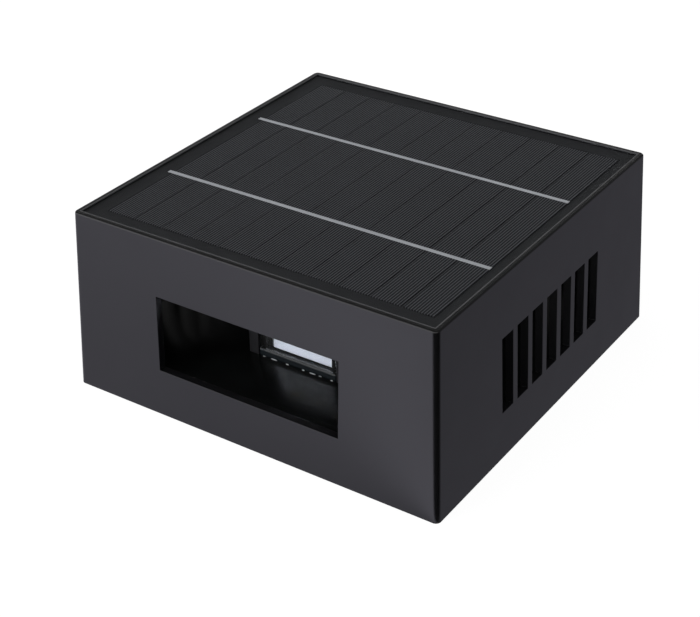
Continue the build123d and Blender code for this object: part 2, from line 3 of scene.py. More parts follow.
import bpy
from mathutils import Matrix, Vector


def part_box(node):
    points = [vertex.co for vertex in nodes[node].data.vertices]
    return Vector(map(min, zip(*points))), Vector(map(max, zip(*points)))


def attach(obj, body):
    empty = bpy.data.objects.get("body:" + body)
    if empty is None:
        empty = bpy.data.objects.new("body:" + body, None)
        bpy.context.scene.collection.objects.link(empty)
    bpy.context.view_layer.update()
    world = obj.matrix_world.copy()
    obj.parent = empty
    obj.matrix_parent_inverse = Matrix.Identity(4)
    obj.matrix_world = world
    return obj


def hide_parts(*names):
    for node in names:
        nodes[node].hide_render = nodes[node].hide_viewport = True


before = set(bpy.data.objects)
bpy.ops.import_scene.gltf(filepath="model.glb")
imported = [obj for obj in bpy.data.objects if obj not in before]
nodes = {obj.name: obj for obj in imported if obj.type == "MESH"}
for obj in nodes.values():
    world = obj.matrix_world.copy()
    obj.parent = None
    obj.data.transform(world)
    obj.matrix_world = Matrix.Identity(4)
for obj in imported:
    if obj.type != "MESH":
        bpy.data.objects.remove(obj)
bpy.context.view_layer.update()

bl_info = {
    "name": "Fence Light",
    "version": (1, 0, 0),
    "blender": (4, 5, 0),
    "location": "View3D > Sidebar > Fence Light",
    "description": "Finishes, small fittings and studio for a solar fence light",
    "category": "Object",
}

MM = 0.001
CASE = "case"   # the body that carries all that doesn't travel
UP, ACROSS, BACK = Vector((0, 0, 1)), Vector((1, 0, 0)), Vector((0, 1, 0))


# ---------------------------------------------------------------- helpers for materials
def linear(hex_colour):
    """An sRGB hex colour as the linear colour that a shader takes."""
    levels = [int(hex_colour[at:at + 2], 16) / 255 for at in (1, 3, 5)]
    return tuple(v / 12.92 if v <= 0.04045 else ((v + 0.055) / 1.055) ** 2.4 for v in levels) + (1.0,)


def grey(level):
    """A colour of one linear level."""
    return (level, level, level, 1.0)


def add_node(tree, kind, settings=None, links=None):
    """Adds one shader node and returns its outputs. Settings fill its sockets, its properties and a ramp's
    stops of (place, colour), and links feed its sockets."""
    made = tree.nodes.new(kind)
    for key, value in (settings or {}).items():
        if key == "stops":
            elements = made.color_ramp.elements
            while len(elements) < len(value):
                elements.new(0.5)
            for element, (place, colour) in zip(elements, value):
                element.position = place
                element.color = colour
        elif isinstance(key, int) or key in made.inputs:
            made.inputs[key].default_value = value
        else:
            setattr(made, key, value)
    for key, source in (links or {}).items():
        tree.links.new(source, made.inputs[key])
    return made.outputs


def new_material(name):
    """An empty material with its node tree and its Object coordinates."""
    material = bpy.data.materials.new(name)
    material.use_nodes = True
    tree = material.node_tree
    tree.nodes.clear()
    return material, tree, add_node(tree, "ShaderNodeTexCoord")["Object"]


def dress(names, material):
    """Gives CAD nodes a material."""
    for name in names:
        mesh = nodes[name].data
        mesh.materials.clear()
        mesh.materials.append(material)


# ---------------------------------------------------------------- finishes
def moulded(name, dark, pale, roughness, grain, edge=0.25 * MM, cloud=8 * MM, matt_sills=False):
    """A moulded finish: a cloudy tone, a grain of the mould that is coarser than real, so that it shows, and
    edges a little rounded. Matt sills are those of a wall's openings, which a side core of the mould forms."""
    material, tree, place = new_material(name)
    clouds = add_node(tree, "ShaderNodeTexNoise", {"Scale": 1 / cloud, "Detail": 3.0}, {"Vector": place})["Fac"]
    tones = [(0.35, linear(dark)), (0.7, linear(pale))]
    tone = add_node(tree, "ShaderNodeValToRGB", {"stops": tones}, {"Fac": clouds})["Color"]
    patches = add_node(tree, "ShaderNodeTexNoise", {"Scale": 2 / cloud}, {"Vector": place})["Fac"]
    sheen = add_node(tree, "ShaderNodeMapRange", {"To Min": roughness - 0.03, "To Max": roughness + 0.04},
                     {"Value": patches})["Result"]
    grains = add_node(tree, "ShaderNodeTexNoise", {"Scale": 1 / grain, "Detail": 3.0, "Roughness": 0.6},
                      {"Vector": place})["Fac"]
    rounded = add_node(tree, "ShaderNodeBevel", {"Radius": edge, "samples": 8})["Normal"]
    normal = add_node(tree, "ShaderNodeBump", {"Distance": 0.012 * MM, "Strength": 0.5},
                      {"Height": grains, "Normal": rounded})["Normal"]
    links = {"Base Color": tone, "Roughness": sheen, "Normal": normal}
    if matt_sills:
        sill = sill_mask(tree, place)
        rougher = add_node(tree, "ShaderNodeMath", {"operation": "MULTIPLY", 1: 0.3}, {0: sill})["Value"]
        links["Roughness"] = add_node(tree, "ShaderNodeMath", {"operation": "ADD"}, {0: rougher, 1: sheen})["Value"]
        links["Specular IOR Level"] = add_node(tree, "ShaderNodeMapRange", {"To Min": 0.5, "To Max": 0.12},
                                               {"Value": sill})["Result"]
    surface = add_node(tree, "ShaderNodeBsdfPrincipled", {"IOR": 1.53}, links)["BSDF"]
    add_node(tree, "ShaderNodeOutputMaterial", links={"Surface": surface})
    return material


def sill_mask(tree, place):
    """One on the faces that look up from the foot of the housing's openings, and zero elsewhere."""
    facing = add_node(tree, "ShaderNodeTexCoord")["Normal"]
    rise = add_node(tree, "ShaderNodeSeparateXYZ", links={"Vector": facing})["Z"]
    height = add_node(tree, "ShaderNodeSeparateXYZ", links={"Vector": place})["Z"]
    upward = add_node(tree, "ShaderNodeMapRange", {"From Min": 0.6, "From Max": 0.9}, {"Value": rise})["Result"]
    low = add_node(tree, "ShaderNodeMapRange", {"From Min": 30 * MM, "From Max": 25 * MM},
                   {"Value": height})["Result"]
    return add_node(tree, "ShaderNodeMath", {"operation": "MULTIPLY"}, {0: upward, 1: low})["Value"]


def polished_abs():
    """Black ABS from a polished mould: dark, with soft reflections that its faint waviness bends."""
    material, tree, place = new_material("polished_black_abs")
    smear = add_node(tree, "ShaderNodeTexNoise", {"Scale": 1 / (9 * MM), "Detail": 3.0}, {"Vector": place})["Fac"]
    tones = [(0.3, linear("#0e0f0f")), (0.75, linear("#141616"))]
    tone = add_node(tree, "ShaderNodeValToRGB", {"stops": tones}, {"Fac": smear})["Color"]
    gloss = add_node(tree, "ShaderNodeMapRange", {"To Min": 0.17, "To Max": 0.26}, {"Value": smear})["Result"]

    # the floor falls away in front of the core, a little more with each millimetre, so water drains
    along = add_node(tree, "ShaderNodeSeparateXYZ", links={"Vector": place})["Y"]
    ahead = add_node(tree, "ShaderNodeMapRange", {"From Min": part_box("lamp_core")[0].y, "From Max": -1.0},
                     {"Value": along})["Result"]
    squared = add_node(tree, "ShaderNodeMath", {"operation": "POWER", 1: 2.0}, {0: ahead})["Value"]
    fall = add_node(tree, "ShaderNodeMath", {"operation": "MULTIPLY", 1: -4.5}, {0: squared})["Value"]
    rounded = add_node(tree, "ShaderNodeBevel", {"Radius": 0.25 * MM, "samples": 8})["Normal"]
    slope = add_node(tree, "ShaderNodeBump", {"Distance": 1.0, "Strength": 1.0},
                     {"Height": fall, "Normal": rounded})["Normal"]
    waves = add_node(tree, "ShaderNodeTexNoise", {"Scale": 1 / (14 * MM), "Detail": 1.0}, {"Vector": place})["Fac"]
    normal = add_node(tree, "ShaderNodeBump", {"Distance": 0.05 * MM, "Strength": 0.3},
                      {"Height": waves, "Normal": slope})["Normal"]
    surface = add_node(tree, "ShaderNodeBsdfPrincipled", {"IOR": 1.53, "Specular IOR Level": 0.25},
                       {"Base Color": tone, "Roughness": gloss, "Normal": normal})["BSDF"]
    add_node(tree, "ShaderNodeOutputMaterial", links={"Surface": surface})
    return material


def etched_silicon(panel):
    """Monocrystalline silicon, etched nearly black, with the silver fingers that shine along each strip."""
    material, tree, place = new_material("monocrystalline_silicon")
    across = add_node(tree, "ShaderNodeSeparateXYZ", links={"Vector": place})["X"]
    start = add_node(tree, "ShaderNodeMath", {"operation": "SUBTRACT", 1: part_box("solar_cells")[0].x},
                     {0: across})["Value"]
    count = add_node(tree, "ShaderNodeMath", {"operation": "DIVIDE", 1: panel.finger_pitch}, {0: start})["Value"]
    phase = add_node(tree, "ShaderNodeMath", {"operation": "FRACT"}, {0: count})["Value"]

    # one finger in the middle of each pitch, with edges a little soft
    half = panel.finger_width / panel.finger_pitch / 2
    outside, inside = half + 0.06, half - 0.04
    stops = [(0.5 - outside, grey(0)), (0.5 - inside, grey(1)), (0.5 + inside, grey(1)), (0.5 + outside, grey(0))]
    finger = add_node(tree, "ShaderNodeValToRGB", {"stops": stops}, {"Fac": phase})["Color"]
    crystal = add_node(tree, "ShaderNodeTexNoise", {"Scale": 1 / (7 * MM), "Detail": 4.0}, {"Vector": place})["Fac"]
    tones = [(0.3, tuple(panel.cell_dark) + (1.0,)), (0.7, tuple(panel.cell_pale) + (1.0,))]
    etched = add_node(tree, "ShaderNodeValToRGB", {"stops": tones}, {"Fac": crystal})["Color"]
    tone = add_node(tree, "ShaderNodeMixRGB", {"Color2": tuple(panel.finger_colour) + (1.0,)},
                    {"Fac": finger, "Color1": etched})["Color"]
    sheen = add_node(tree, "ShaderNodeMapRange", {"To Min": 0.5, "To Max": 0.3}, {"Value": finger})["Result"]
    metal = add_node(tree, "ShaderNodeMapRange", {"To Min": 0.0, "To Max": 0.3}, {"Value": finger})["Result"]
    surface = add_node(tree, "ShaderNodeBsdfPrincipled", {"IOR": 1.5, "Specular IOR Level": 0.08},
                       {"Base Color": tone, "Roughness": sheen, "Metallic": metal})["BSDF"]
    add_node(tree, "ShaderNodeOutputMaterial", links={"Surface": surface})
    return material


def tinned_ribbon():
    """Flat copper ribbon, hot tinned: pale and even, with soft drawn streaks along its length."""
    material, tree, place = new_material("tinned_copper_ribbon")
    # a streak is 25 mm long and a little over 1 mm wide
    stretched = add_node(tree, "ShaderNodeMapping", {"Scale": (40, 900, 900)}, {"Vector": place})["Vector"]
    streak = add_node(tree, "ShaderNodeTexNoise", {"Scale": 1.0}, {"Vector": stretched})["Fac"]
    tones = [(0.3, linear("#d2d2d4")), (0.7, linear("#e4e4e6"))]
    tone = add_node(tree, "ShaderNodeValToRGB", {"stops": tones}, {"Fac": streak})["Color"]
    surface = add_node(tree, "ShaderNodeBsdfPrincipled", {"Metallic": 0.2, "Roughness": 0.5},
                       {"Base Color": tone})["BSDF"]
    add_node(tree, "ShaderNodeOutputMaterial", links={"Surface": surface})
    return material


def masked_board():
    """Glass-fibre board under black solder mask: flat and dark, with the faint weave of its cloth."""
    material, tree, place = new_material("black_solder_mask")
    # the threads of the cloth stand 0.5 mm apart and are drawn 0.9 mm apart, so that they show
    weave = add_node(tree, "ShaderNodeTexChecker", {"Scale": 1 / (0.9 * MM)}, {"Vector": place})["Fac"]
    patches = add_node(tree, "ShaderNodeTexNoise", {"Scale": 1 / (10 * MM)}, {"Vector": place})["Fac"]
    tones = [(0.3, linear("#303031")), (0.7, linear("#343435"))]
    tone = add_node(tree, "ShaderNodeValToRGB", {"stops": tones}, {"Fac": patches})["Color"]
    normal = add_node(tree, "ShaderNodeBump", {"Distance": 0.01 * MM, "Strength": 0.15}, {"Height": weave})["Normal"]
    surface = add_node(tree, "ShaderNodeBsdfPrincipled", {"IOR": 1.5, "Roughness": 0.6, "Specular IOR Level": 0.3},
                       {"Base Color": tone, "Normal": normal})["BSDF"]
    add_node(tree, "ShaderNodeOutputMaterial", links={"Surface": surface})
    return material


def clear_laminate():
    """Clear PET laminate with an anti-reflective skin: a thin veil of soft reflections over the crisp cells."""
    material, tree, place = new_material("clear_pet_laminate")
    smear = add_node(tree, "ShaderNodeTexNoise", {"Scale": 1 / (12 * MM)}, {"Vector": place})["Fac"]
    gloss = add_node(tree, "ShaderNodeMapRange", {"To Min": 0.08, "To Max": 0.13}, {"Value": smear})["Result"]
    veil = add_node(tree, "ShaderNodeBsdfPrincipled", {"Base Color": linear("#0c0c0d"), "IOR": 1.45},
                    {"Roughness": gloss})["BSDF"]
    open_way = add_node(tree, "ShaderNodeBsdfTransparent", {"Color": linear("#fafbfc")})["BSDF"]
    surface = add_node(tree, "ShaderNodeMixShader", {0: 0.1}, {1: open_way, 2: veil})["Shader"]
    add_node(tree, "ShaderNodeOutputMaterial", links={"Surface": surface})
    return material


def clear_polycarbonate():
    """Clear polycarbonate: bright edges, sharp reflections, and painted shade at its foot, which is darker, duller
    and less clear there.
    """
    material, tree, place = new_material("clear_polycarbonate")
    ripple = add_node(tree, "ShaderNodeTexNoise", {"Scale": 1 / (5 * MM)}, {"Vector": place})["Fac"]
    gloss = add_node(tree, "ShaderNodeMapRange", {"To Min": 0.0, "To Max": 0.05}, {"Value": ripple})["Result"]
    rounded = add_node(tree, "ShaderNodeBevel", {"Radius": 0.2 * MM, "samples": 8})["Normal"]
    normal = add_node(tree, "ShaderNodeBump", {"Distance": 0.02 * MM, "Strength": 0.4},
                      {"Height": ripple, "Normal": rounded})["Normal"]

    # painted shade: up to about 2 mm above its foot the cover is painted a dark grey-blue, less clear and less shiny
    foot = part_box("front_lens")[0].z
    height = add_node(tree, "ShaderNodeSeparateXYZ", links={"Vector": place})["Z"]
    above = add_node(tree, "ShaderNodeMapRange", {"From Min": foot + 1.7 * MM, "From Max": foot + 2.3 * MM},
                     {"Value": height})["Result"]
    tones = [(0.0, linear("#252c30")), (1.0, linear("#f2f5f7"))]
    tone = add_node(tree, "ShaderNodeValToRGB", {"stops": tones}, {"Fac": above})["Color"]
    shine = add_node(tree, "ShaderNodeMapRange", {"To Min": 0.1, "To Max": 0.5}, {"Value": above})["Result"]
    clearness = add_node(tree, "ShaderNodeMapRange", {"To Min": 0.5, "To Max": 1.0}, {"Value": above})["Result"]
    clear = add_node(tree, "ShaderNodeBsdfPrincipled", {"IOR": 1.58},
                     {"Base Color": tone, "Roughness": gloss, "Normal": normal, "Specular IOR Level": shine,
                      "Transmission Weight": clearness})["BSDF"]

    # its shadow is open, so that lamps reach the board behind it
    shadow = add_node(tree, "ShaderNodeLightPath")["Is Shadow Ray"]
    open_way = add_node(tree, "ShaderNodeBsdfTransparent")["BSDF"]
    surface = add_node(tree, "ShaderNodeMixShader", links={0: shadow, 1: clear, 2: open_way})["Shader"]
    add_node(tree, "ShaderNodeOutputMaterial", links={"Surface": surface})
    return material


def soft_foam(name, pit, skin, pore):
    """Closed-cell foam or silicone: matt, with small pores in its skin."""
    material, tree, place = new_material(name)
    pores = add_node(tree, "ShaderNodeTexVoronoi", {"Scale": 1 / pore}, {"Vector": place})["Distance"]
    tones = [(0.0, linear(pit)), (0.6, linear(skin))]
    tone = add_node(tree, "ShaderNodeValToRGB", {"stops": tones}, {"Fac": pores})["Color"]
    normal = add_node(tree, "ShaderNodeBump", {"Distance": 0.1 * MM, "Strength": 0.4}, {"Height": pores})["Normal"]
    surface = add_node(tree, "ShaderNodeBsdfPrincipled", {"Roughness": 0.8},
                       {"Base Color": tone, "Normal": normal})["BSDF"]
    add_node(tree, "ShaderNodeOutputMaterial", links={"Surface": surface})
    return material


def plated(name, dark, pale, roughness):
    """Plated metal: bright and slightly clouded, with tumbling marks drawn a little coarser than real."""
    material, tree, place = new_material(name)
    clouds = add_node(tree, "ShaderNodeTexNoise", {"Scale": 1 / (1.5 * MM), "Detail": 3.0}, {"Vector": place})["Fac"]
    tones = [(0.3, linear(dark)), (0.7, linear(pale))]
    tone = add_node(tree, "ShaderNodeValToRGB", {"stops": tones}, {"Fac": clouds})["Color"]
    marks = add_node(tree, "ShaderNodeTexNoise", {"Scale": 1 / (0.12 * MM), "Detail": 3.0}, {"Vector": place})["Fac"]
    rounded = add_node(tree, "ShaderNodeBevel", {"Radius": 0.06 * MM, "samples": 8})["Normal"]
    normal = add_node(tree, "ShaderNodeBump", {"Distance": 0.004 * MM, "Strength": 0.5},
                      {"Height": marks, "Normal": rounded})["Normal"]
    surface = add_node(tree, "ShaderNodeBsdfPrincipled", {"Metallic": 1.0, "Roughness": roughness},
                       {"Base Color": tone, "Normal": normal})["BSDF"]
    add_node(tree, "ShaderNodeOutputMaterial", links={"Surface": surface})
    return material


def banded(name, axis, bands, roughness, metal_bands=None):
    """A finish whose colour changes along one axis of the part, with a fine grain over it."""
    material, tree, place = new_material(name)
    low, high = bands[0][0], bands[-1][0]
    along = add_node(tree, "ShaderNodeSeparateXYZ", links={"Vector": place})[axis]
    share = add_node(tree, "ShaderNodeMapRange", {"From Min": low, "From Max": high}, {"Value": along})["Result"]
    tones = [((at - low) / (high - low), linear(colour)) for at, colour in bands]
    patches = add_node(tree, "ShaderNodeTexNoise", {"Scale": 1 / (2 * MM)}, {"Vector": place})["Fac"]
    grains = add_node(tree, "ShaderNodeTexNoise", {"Scale": 1 / (0.5 * MM)}, {"Vector": place})["Fac"]
    rounded = add_node(tree, "ShaderNodeBevel", {"Radius": 0.15 * MM, "samples": 8})["Normal"]
    links = {
        "Base Color": add_node(tree, "ShaderNodeValToRGB", {"stops": tones}, {"Fac": share})["Color"],
        "Roughness": add_node(tree, "ShaderNodeMapRange", {"To Min": roughness - 0.04, "To Max": roughness + 0.06},
                              {"Value": patches})["Result"],
        "Normal": add_node(tree, "ShaderNodeBump", {"Distance": 0.006 * MM, "Strength": 0.4},
                           {"Height": grains, "Normal": rounded})["Normal"],
    }
    if metal_bands:
        levels = [((at - low) / (high - low), grey(level)) for at, level in metal_bands]
        links["Metallic"] = add_node(tree, "ShaderNodeValToRGB", {"stops": levels}, {"Fac": share})["Color"]
    surface = add_node(tree, "ShaderNodeBsdfPrincipled", {"IOR": 1.5}, links)["BSDF"]
    add_node(tree, "ShaderNodeOutputMaterial", links={"Surface": surface})
    return material


# ---------------------------------------------------------------- settings that a user would change
class HousingFinish(bpy.types.PropertyGroup):
    roughness: bpy.props.FloatProperty(
        name="Roughness", description="Satin of the eroded mould", subtype="FACTOR", min=0.1, max=0.9, default=0.34)
    edge_radius: bpy.props.FloatProperty(
        name="Edge radius", description="Round on the housing's small edges", unit="LENGTH", default=0.2 * MM)
    grain: bpy.props.FloatProperty(
        name="Grain", description="Size of the mould's grain, coarser than real so that it shows",
        unit="LENGTH", default=0.3 * MM)


class PanelFinish(bpy.types.PropertyGroup):
    cell_dark: bpy.props.FloatVectorProperty(
        name="Cell, dark", description="Darker tone of the etched silicon", subtype="COLOR", size=3,
        default=linear("#29292a")[:3])
    cell_pale: bpy.props.FloatVectorProperty(
        name="Cell, pale", description="Paler tone of the etched silicon", subtype="COLOR", size=3,
        default=linear("#2d2d2f")[:3])
    finger_colour: bpy.props.FloatVectorProperty(
        name="Fingers", description="Colour of the printed silver lines", subtype="COLOR", size=3,
        default=linear("#6c6c6f")[:3])
    finger_pitch: bpy.props.FloatProperty(
        name="Finger pitch", description="Distance between the printed lines", unit="LENGTH", default=0.746 * MM)
    finger_width: bpy.props.FloatProperty(
        name="Finger width", description="Width of a printed line, wider than real so that it shows",
        unit="LENGTH", default=0.22 * MM)


class FittingSizes(bpy.types.PropertyGroup):
    head_radius: bpy.props.FloatProperty(
        name="Screw head", description="Radius of a base screw's head", unit="LENGTH", default=2.8 * MM)
    head_depth: bpy.props.FloatProperty(
        name="Head depth", description="Height of the countersunk cone", unit="LENGTH", default=1.3 * MM)
    shaft_radius: bpy.props.FloatProperty(
        name="Screw shaft", description="Radius over a base screw's thread", unit="LENGTH", default=1.5 * MM)
    thread_pitch: bpy.props.FloatProperty(
        name="Thread pitch", description="Distance between the ridges of a base screw", unit="LENGTH",
        default=1.3 * MM)
    phosphor_radius: bpy.props.FloatProperty(
        name="Phosphor", description="Radius of the yellow disc on a lamp chip", unit="LENGTH", default=1.05 * MM)
    bead_radius: bpy.props.FloatProperty(
        name="Glue bead", description="Radius of the glue at the front cover's foot", unit="LENGTH",
        default=0.13 * MM)


class StudioSettings(bpy.types.PropertyGroup):
    floor_size: bpy.props.FloatProperty(
        name="Floor", description="Side of the studio floor", unit="LENGTH", default=6.0)
    camera_place: bpy.props.FloatVectorProperty(
        name="Camera place", description="Where the camera stands", subtype="TRANSLATION", size=3,
        default=(0.20400, -0.30667, 0.23589))
    camera_turn: bpy.props.FloatVectorProperty(
        name="Camera turn", description="How the camera is turned", subtype="EULER", size=3,
        default=tuple(math.radians(angle) for angle in (58.805, 0.900, 33.905)))
    focal_length: bpy.props.FloatProperty(
        name="Focal length", description="Focal length in millimetres", subtype="DISTANCE_CAMERA", default=79.2)
    window_power: bpy.props.FloatProperty(
        name="Window light", description="Power of the low lamp in front", unit="POWER", default=5.0)
    key_power: bpy.props.FloatProperty(
        name="Key light", description="Power of the lamp at the left", unit="POWER", default=2.0)
    top_power: bpy.props.FloatProperty(
        name="Top light", description="Power of the lamp overhead", unit="POWER", default=4.0)


# ---------------------------------------------------------------- operators for the CAD nodes' finishes
class FENCE_OT_housing(bpy.types.Operator):
    """Dress the housing and the base cover"""

    bl_idname = "fence.housing"
    bl_label = "Housing"

    def execute(self, context):
        settings = context.scene.housing_finish
        # black ABS from an eroded mould: blue-black with a soft sheen that takes the floor's light
        dress(["housing"], moulded("satin_black_abs", "#09090b", "#0c0c0e", settings.roughness, settings.grain,
                                   edge=settings.edge_radius, cloud=18 * MM, matt_sills=True))
        # the hidden cover comes from a coarser mould: greyer and duller than the walls
        dress(["base_cover"], moulded("coarse_black_abs", "#101011", "#151516", 0.45, settings.grain))
        return {"FINISHED"}


class FENCE_OT_panel(bpy.types.Operator):
    """Dress the solar panel"""

    bl_idname = "fence.panel"
    bl_label = "Solar panel"

    def execute(self, context):
        dress(["solar_cells"], etched_silicon(context.scene.panel_finish))
        dress(["cell_ribbons"], tinned_ribbon())
        dress(["panel_backing"], masked_board())
        # polyethylene foam: deep black and porous
        dress(["panel_tape", "roof_seal"], soft_foam("black_pe_foam", "#0c0c0d", "#1c1c1d", 0.5 * MM))
        return {"FINISHED"}


class FENCE_OT_core(bpy.types.Operator):
    """Dress the floor tray, the lamp core and its lamps"""

    bl_idname = "fence.core"
    bl_label = "Tray, core and lamps"

    def execute(self, context):
        dress(["floor_tray"], polished_abs())
        # the core's own plastic is a shade paler and less shiny, so its pillars stand out in the window
        dress(["lamp_core"], moulded("dull_black_abs", "#1c1c1e", "#222225", 0.4, 0.3 * MM))
        dress(["front_lens", "side_lenses"], clear_polycarbonate())
        # white solder mask: cool, even and a little glossy, the one bright face of the light
        dress(["front_led_board", "side_led_boards"],
              moulded("white_solder_mask", "#c5c8d2", "#cdd0da", 0.35, 0.4 * MM, edge=0.1 * MM))
        # the chips' resin is a warmer white than their board
        dress(["led_chips"], moulded("white_ppa_resin", "#e4e2d8", "#efeee6", 0.3, 0.3 * MM, edge=0.1 * MM))
        # silicone seals: matt, black behind the covers and grey round the base
        dress(["lens_gaskets"], soft_foam("black_silicone", "#0a0b0b", "#131515", 0.6 * MM))
        dress(["base_gasket"], soft_foam("grey_silicone", "#2e2e30", "#3c3c3e", 0.6 * MM))
        # tin over brass: bright, with a trace of warmth
        dress(["board_pins"], plated("tin_plated_brass", "#b9b6a8", "#cfccc0", 0.3))
        return {"FINISHED"}


class FENCE_OT_electronics(bpy.types.Operator):
    """Dress the circuit board, the switch, the battery and the leads"""

    bl_idname = "fence.electronics"
    bl_label = "Electronics"

    def execute(self, context):
        # green solder mask: glossy, with the copper's clouds below it
        dress(["circuit_board"], moulded("green_solder_mask", "#0d3a1c", "#134a26", 0.35, 0.5 * MM))
        # filled epoxy of chips and coil: dull charcoal
        dress(["board_parts"], moulded("black_epoxy", "#141415", "#1e1e1f", 0.5, 0.2 * MM))
        # plain black plastics, from waxy polypropylene to dry nylon and soft rubber
        dress(["battery_cradle"], moulded("black_polypropylene", "#18181a", "#202022", 0.45, 0.4 * MM))
        dress(["switch_body"], moulded("black_nylon", "#18181a", "#222224", 0.5, 0.3 * MM))
        dress(["push_button"], moulded("black_tpe_rubber", "#19191b", "#222224", 0.65, 0.3 * MM))
        # switch plungers are brown and connectors ivory, so an assembler tells them apart
        dress(["switch_plunger"], moulded("brown_nylon", "#5a3a1e", "#6b4626", 0.5, 0.3 * MM))
        dress(["lead_connector"], moulded("white_nylon", "#d8d4c6", "#e4e1d4", 0.45, 0.3 * MM))
        # nickel is a warm silver and zinc a bluish one
        dress(["battery_contacts"], plated("nickel_plate", "#b5b0a4", "#cbc6ba", 0.28))
        dress(["board_screws", "base_screws"], plated("zinc_plate", "#9a9ca0", "#b4b6ba", 0.3))

        # a glossy blue shrink sleeve between the bare steel ends of the cell
        low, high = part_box("battery")
        seam = 0.1 * MM
        foot_ring, cap_ring = low.y + 1.6 * MM, high.y - 3.2 * MM
        colours = [(low.y, "#b8b9bb"), (foot_ring, "#b8b9bb"), (foot_ring + seam, "#1d4d70"),
                   (cap_ring, "#24597e"), (cap_ring + seam, "#b8b9bb"), (high.y, "#b8b9bb")]
        metal = [(low.y, 1), (foot_ring, 1), (foot_ring + seam, 0), (cap_ring, 0), (cap_ring + seam, 1), (high.y, 1)]
        dress(["battery"], banded("sleeved_cell", "Y", colours, 0.28, metal))

        # PVC insulation, smooth and waxy: one red and one black lead
        low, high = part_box("panel_leads")
        middle = (low.x + high.x) / 2
        pair = [(low.x, "#8c1614"), (middle, "#8c1614"), (middle + 0.01 * MM, "#121213"), (high.x, "#121213")]
        dress(["panel_leads"], banded("pvc_insulation", "X", pair, 0.4))
        return {"FINISHED"}


# ---------------------------------------------------------------- helpers for new pieces
def turned(profile, sides):
    """A solid turned round the frame's Z axis. Each (radius, height) of the profile is one ring of it."""
    (radius, height), *others = profile
    bpy.ops.object.select_all(action="DESELECT")
    bpy.ops.mesh.primitive_circle_add(vertices=sides, radius=radius, fill_type="NGON", location=(0, 0, height))
    bpy.ops.object.mode_set(mode="EDIT")
    for next_radius, next_height in others:
        bpy.ops.mesh.extrude_region_move(TRANSFORM_OT_translate={"value": (0, 0, next_height - height)})
        ratio = next_radius / radius
        bpy.ops.transform.resize(value=(ratio, ratio, 1), center_override=(0, 0, 0))
        radius, height = next_radius, next_height
    bpy.ops.mesh.select_all(action="SELECT")
    bpy.ops.mesh.normals_make_consistent(inside=False)
    bpy.ops.object.mode_set(mode="OBJECT")
    bpy.ops.object.transform_apply(location=True, rotation=True, scale=True)
    return bpy.context.object


def select_only(piece):
    """Selects one piece and makes it the active one."""
    bpy.ops.object.select_all(action="DESELECT")
    piece.select_set(True)
    bpy.context.view_layer.objects.active = piece


def copy_of(piece, place, turn=(0, 0, 0)):
    """A copy of a piece with its own mesh, turned and then put at a place."""
    select_only(piece)
    bpy.ops.object.duplicate(linked=False)
    copied = bpy.context.object
    copied.location = place
    copied.rotation_euler = turn
    return copied


def settle(piece, name, material):
    """Puts a piece's origin at the frame's, names it and lets it ride with the case."""
    select_only(piece)
    bpy.ops.object.transform_apply(location=True, rotation=True, scale=True)
    bpy.ops.object.shade_smooth_by_angle(angle=math.radians(35))
    piece.name = name
    piece.data.name = name
    piece.data.materials.clear()
    piece.data.materials.append(material)
    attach(piece, CASE)


def apply_modifier(piece, kind, **settings):
    """Adds one modifier to the active piece and applies it."""
    modifier = piece.modifiers.new(kind, kind)
    for key, value in settings.items():
        setattr(modifier, key, value)
    bpy.ops.object.modifier_apply(modifier=modifier.name)


def block(low, high):
    """A box between two corners."""
    bpy.ops.object.select_all(action="DESELECT")
    bpy.ops.mesh.primitive_cube_add(size=1, location=(low + high) / 2, scale=high - low)
    bpy.ops.object.transform_apply(location=True, rotation=True, scale=True)
    return bpy.context.object


def cut_block(piece, low, high):
    """Cuts a box out of a piece."""
    cutter = block(low, high)
    bpy.context.view_layer.objects.active = piece
    apply_modifier(piece, "BOOLEAN", object=cutter, operation="DIFFERENCE", solver="EXACT")
    bpy.data.objects.remove(cutter)


class FENCE_OT_film(bpy.types.Operator):
    """Lay the clear film over the cells, a hair above the board that it is bonded to"""

    bl_idname = "fence.film"
    bl_label = "Clear film"

    def execute(self, context):
        skim = 0.03 * MM            # the film's underside above the board
        rim_bevel = 0.2 * MM
        ribbon_width = 1.2 * MM
        margin, headroom = 0.1 * MM, 0.02 * MM   # round and above what lies in a pocket
        low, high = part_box("panel_film")
        film = block(low + skim * UP, high)
        for face in film.data.polygons:
            face.select = face.normal.z > 0.9
        bpy.ops.object.mode_set(mode="EDIT")
        bpy.ops.mesh.select_mode(type="FACE")
        bpy.ops.mesh.bevel(offset=rim_bevel, segments=2)
        bpy.ops.object.mode_set(mode="OBJECT")

        # pockets over the cells and the two ribbons, so the film touches neither
        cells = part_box("solar_cells")
        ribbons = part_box("cell_ribbons")
        pockets = [(cells[0].x, cells[1].x, cells[0].y, cells[1].y)]
        for front in (ribbons[0].y, ribbons[1].y - ribbon_width):
            pockets.append((ribbons[0].x, ribbons[1].x, front, front + ribbon_width))
        for left, right, front, back in pockets:
            cut_block(film, Vector((left - margin, front - margin, low.z - 1 * MM)),
                      Vector((right + margin, back + margin, ribbons[1].z + headroom)))
        settle(film, "clear_film", clear_laminate())
        bpy.ops.object.shade_flat()
        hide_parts("panel_film")
        return {"FINISHED"}


